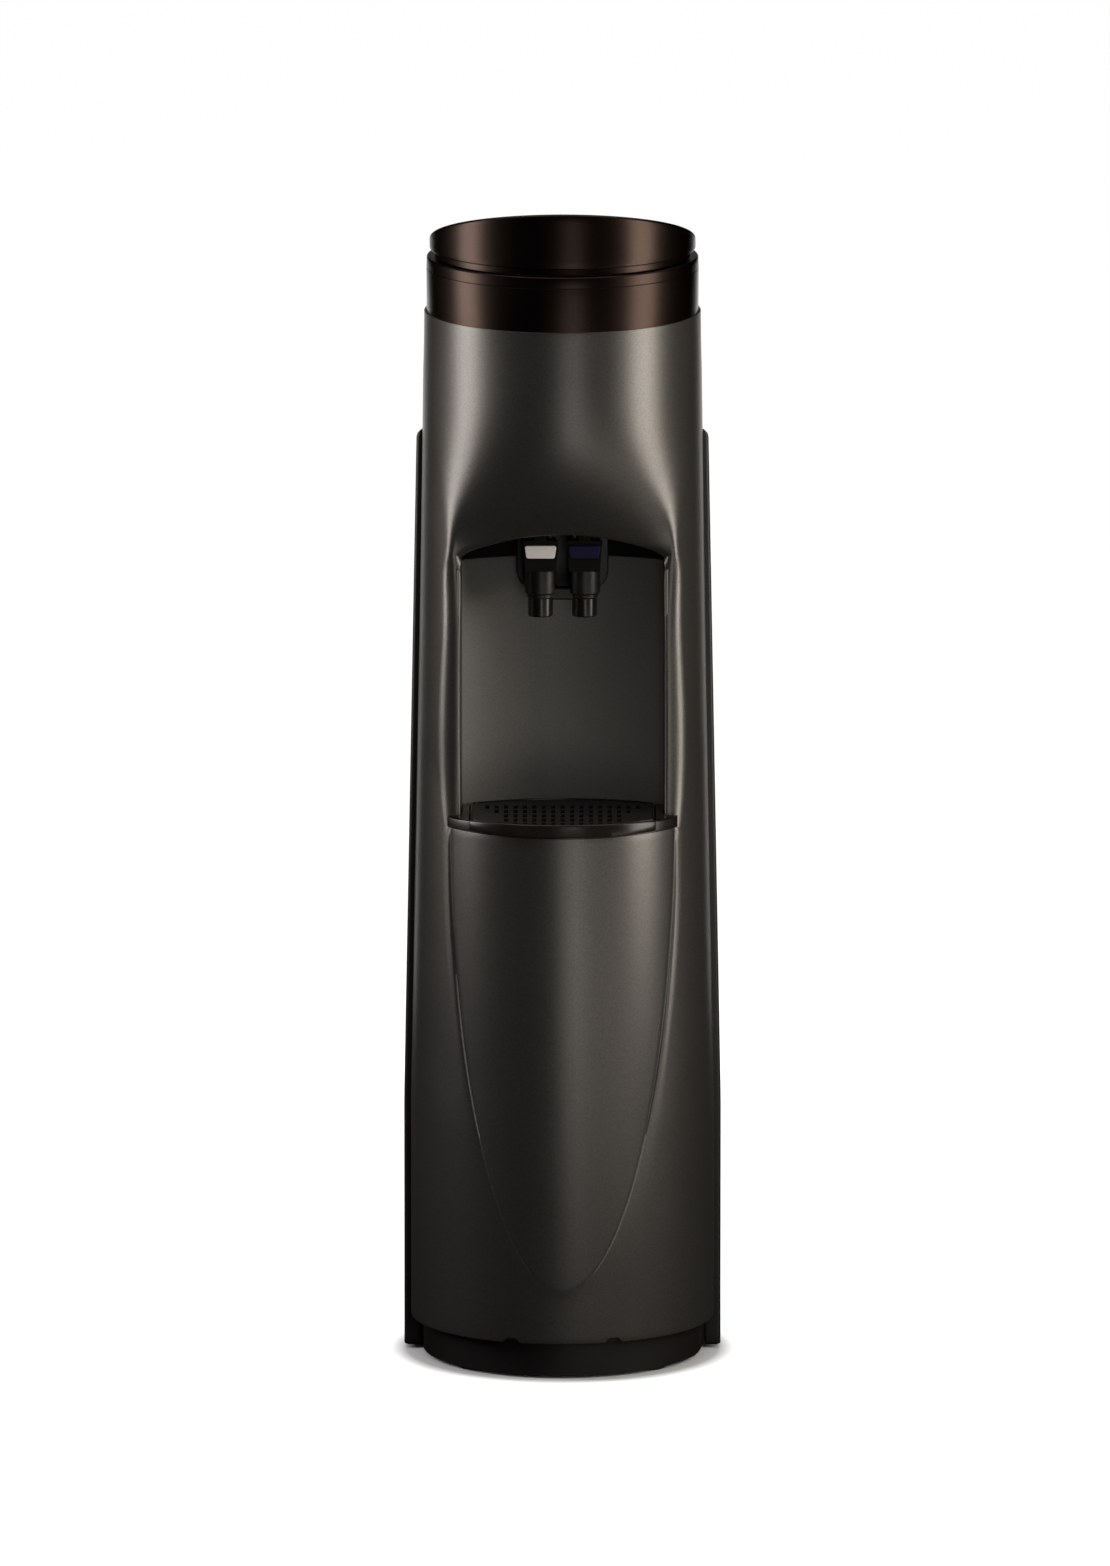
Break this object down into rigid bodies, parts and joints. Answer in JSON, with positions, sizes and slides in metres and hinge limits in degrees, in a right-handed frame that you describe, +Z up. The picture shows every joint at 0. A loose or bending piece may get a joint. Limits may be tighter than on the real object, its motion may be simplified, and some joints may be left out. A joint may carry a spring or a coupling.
{
  "type": "point-of-use water cooler",
  "caption": "Slim tapered floor-standing water cooler with a hooded alcove, push-lever taps, a pull-out drip tray, a wedge lid and a cooled tank fed from the mains.",
  "frame": {"origin": "on the floor, at the middle of the footprint", "axes": "+Z up, the alcove and taps face -Y, +X to the right seen from the front"},
  "size_m": [0.305, 0.315, 1.134],
  "materials": {
    "shell_grey": "charcoal metallic paint, satin",
    "gloss_black": "gloss",
    "satin_black": "satin, finely grained",
    "rubber_black": "matte",
    "paddle_white": "gloss",
    "paddle_blue": "gloss",
    "steel": "satin",
    "stainless": "brushed",
    "zinc_steel": "zinc plated",
    "copper": "drawn tube",
    "silicone": "satin",
    "white_plastic": "moulded",
    "foam": "bead foam",
    "compressor_black": "satin black enamel"
  },
  "bodies": {
    "cabinet": {"base_plinth": "satin_black", "foot_pads": "rubber_black", "front_shell": "shell_grey", "rear_shell": "satin_black", "alcove_liner": "shell_grey", "tap_panel": "satin_black", "top_collar": "gloss_black", "tray_cradle": "gloss_black", "tap_block": "gloss_black", "tap_gaskets": "rubber_black", "tap_nuts": "satin_black", "tap_bonnets": "gloss_black", "lever_pins": "steel", "left_spring": "steel", "right_spring": "steel", "cold_tank": "stainless", "tank_deck": "satin_black", "tank_lid": "white_plastic", "baffle": "white_plastic", "float_valve": "white_plastic", "evaporator_band": "copper", "insulation_left": "foam", "insulation_right": "foam", "cold_tube": "silicone", "room_tube": "silicone", "inlet_fitting": "white_plastic", "inlet_tube": "white_plastic", "left_upright": "zinc_steel", "right_upright": "zinc_steel", "tank_shelf": "zinc_steel", "compressor": "compressor_black", "compressor_grommets": "rubber_black", "start_relay": "satin_black", "suction_tube": "copper", "discharge_tube": "copper", "condenser_tube": "compressor_black", "condenser_wires": "compressor_black", "condenser_brackets": "zinc_steel", "filter_drier": "copper", "service_panel": "zinc_steel", "panel_screws": "steel", "thermostat": "white_plastic", "switch_bezel": "satin_black", "power_gland": "satin_black"},
    "lid_body": {"lid": "gloss_black"},
    "tray_body": {"drip_tray": "gloss_black"},
    "grille_body": {"drip_grille": "satin_black"},
    "left_lever_body": {"left_lever": "gloss_black", "left_paddle": "paddle_white"},
    "right_lever_body": {"right_lever": "gloss_black", "right_paddle": "paddle_blue"},
    "left_stem_body": {"left_stem": "steel", "left_seat_cup": "silicone"},
    "right_stem_body": {"right_stem": "steel", "right_seat_cup": "silicone"},
    "float_body": {"float_arm": "white_plastic", "float_ball": "white_plastic"},
    "rocker_body": {"switch_rocker": "satin_black"},
    "knob_body": {"thermostat_knob": "satin_black"}
  },
  "joints": [
    {"name": "lid_lift", "type": "slide", "parent": "cabinet", "child": "lid_body", "axis": [0, 0, 1], "range_m": [0, 0.08]},
    {"name": "tray_slide", "type": "slide", "parent": "cabinet", "child": "tray_body", "axis": [0, -1, 0], "range_m": [0, 0.11]},
    {"name": "grille_lift", "type": "slide", "parent": "tray_body", "child": "grille_body", "axis": [0, 0, 1], "range_m": [0, 0.03]},
    {"name": "left_lever_press", "type": "hinge", "parent": "cabinet", "child": "left_lever_body", "pos_m": [-0.021, -0.0775, 0.811], "axis": [1, 0, 0], "range_deg": [0, 12], "stiffness_Nm_per_rad": 0.8, "springref_deg": -5.73},
    {"name": "left_stem_lift", "type": "slide", "parent": "cabinet", "child": "left_stem_body", "axis": [0, 0, 1], "range_m": [0, 0.003], "deforming": ["left_spring"]},
    {"name": "right_lever_press", "type": "hinge", "parent": "cabinet", "child": "right_lever_body", "pos_m": [0.021, -0.0775, 0.811], "axis": [1, 0, 0], "range_deg": [0, 12], "stiffness_Nm_per_rad": 0.8, "springref_deg": -5.73},
    {"name": "right_stem_lift", "type": "slide", "parent": "cabinet", "child": "right_stem_body", "axis": [0, 0, 1], "range_m": [0, 0.003], "deforming": ["right_spring"]},
    {"name": "float_swing", "type": "hinge", "parent": "cabinet", "child": "float_body", "pos_m": [0.026, 0.024, 1.012], "axis": [0, 1, 0], "range_deg": [0, 12]},
    {"name": "rocker_press", "type": "hinge", "parent": "cabinet", "child": "rocker_body", "pos_m": [-0.084, 0.133, 0.12], "axis": [1, 0, 0], "range_deg": [0, 14]},
    {"name": "thermostat_turn", "type": "hinge", "parent": "cabinet", "child": "knob_body", "pos_m": [-0.084, 0.133, 0.19], "axis": [0, 1, 0], "range_deg": [0, 270]}
  ],
  "couplings": [
    {"joint": "left_stem_lift", "follows": "left_lever_press", "m_per_rad": 0.014},
    {"joint": "right_stem_lift", "follows": "right_lever_press", "m_per_rad": 0.014}
  ]
}
